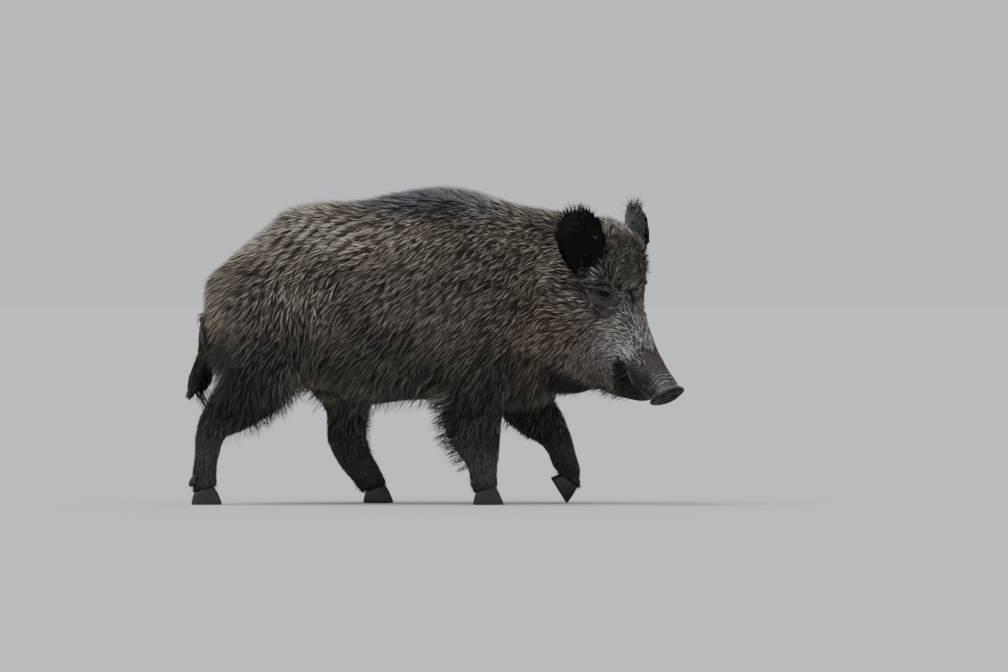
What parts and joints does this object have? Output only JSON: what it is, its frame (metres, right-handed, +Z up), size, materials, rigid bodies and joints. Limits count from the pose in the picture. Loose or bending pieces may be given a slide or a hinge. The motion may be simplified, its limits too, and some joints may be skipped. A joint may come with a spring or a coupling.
{
  "type": "wild boar",
  "caption": "Life-size wild boar sow in mid-walk with its head lowered and turned to its right, a shaggy grizzled coat, dark legs and pricked ears.",
  "frame": {"origin": "on the floor under the middle of the whole boar's box, with the hooves at Z = 0", "axes": "+X the way the boar walks, +Y its left, +Z up; the head is lowered and turned towards -Y"},
  "size_m": [1.0806, 0.385, 0.6949],
  "materials": {
    "coat": "coarse grizzled fur",
    "dark_coat": "short dark fur",
    "nose": "bare moist skin",
    "eye": "wet gloss",
    "horn": "worn satin horn"
  },
  "bodies": {
    "root": {"trunk": "coat", "neck": "coat", "head": "coat", "snout": "nose", "ear_right": "dark_coat", "ear_left": "dark_coat", "tail": "dark_coat", "tail_tuft": "dark_coat", "eye_right": "eye", "eye_left": "eye", "fore_right_upper": "dark_coat", "fore_right_lower": "dark_coat", "fore_left_upper": "dark_coat", "fore_left_lower": "dark_coat", "hind_right_upper": "dark_coat", "hind_right_lower": "dark_coat", "hind_left_upper": "dark_coat", "hind_left_lower": "dark_coat", "hoof_fore_right_inner": "horn", "hoof_fore_right_outer": "horn", "hoof_fore_left_inner": "horn", "hoof_fore_left_outer": "horn", "hoof_hind_right_inner": "horn", "hoof_hind_right_outer": "horn", "hoof_hind_left_inner": "horn", "hoof_hind_left_outer": "horn", "dewclaw_fore_right_inner": "horn", "dewclaw_fore_right_outer": "horn", "dewclaw_fore_left_inner": "horn", "dewclaw_fore_left_outer": "horn", "dewclaw_hind_right_inner": "horn", "dewclaw_hind_right_outer": "horn", "dewclaw_hind_left_inner": "horn", "dewclaw_hind_left_outer": "horn"}
  },
  "joints": []
}
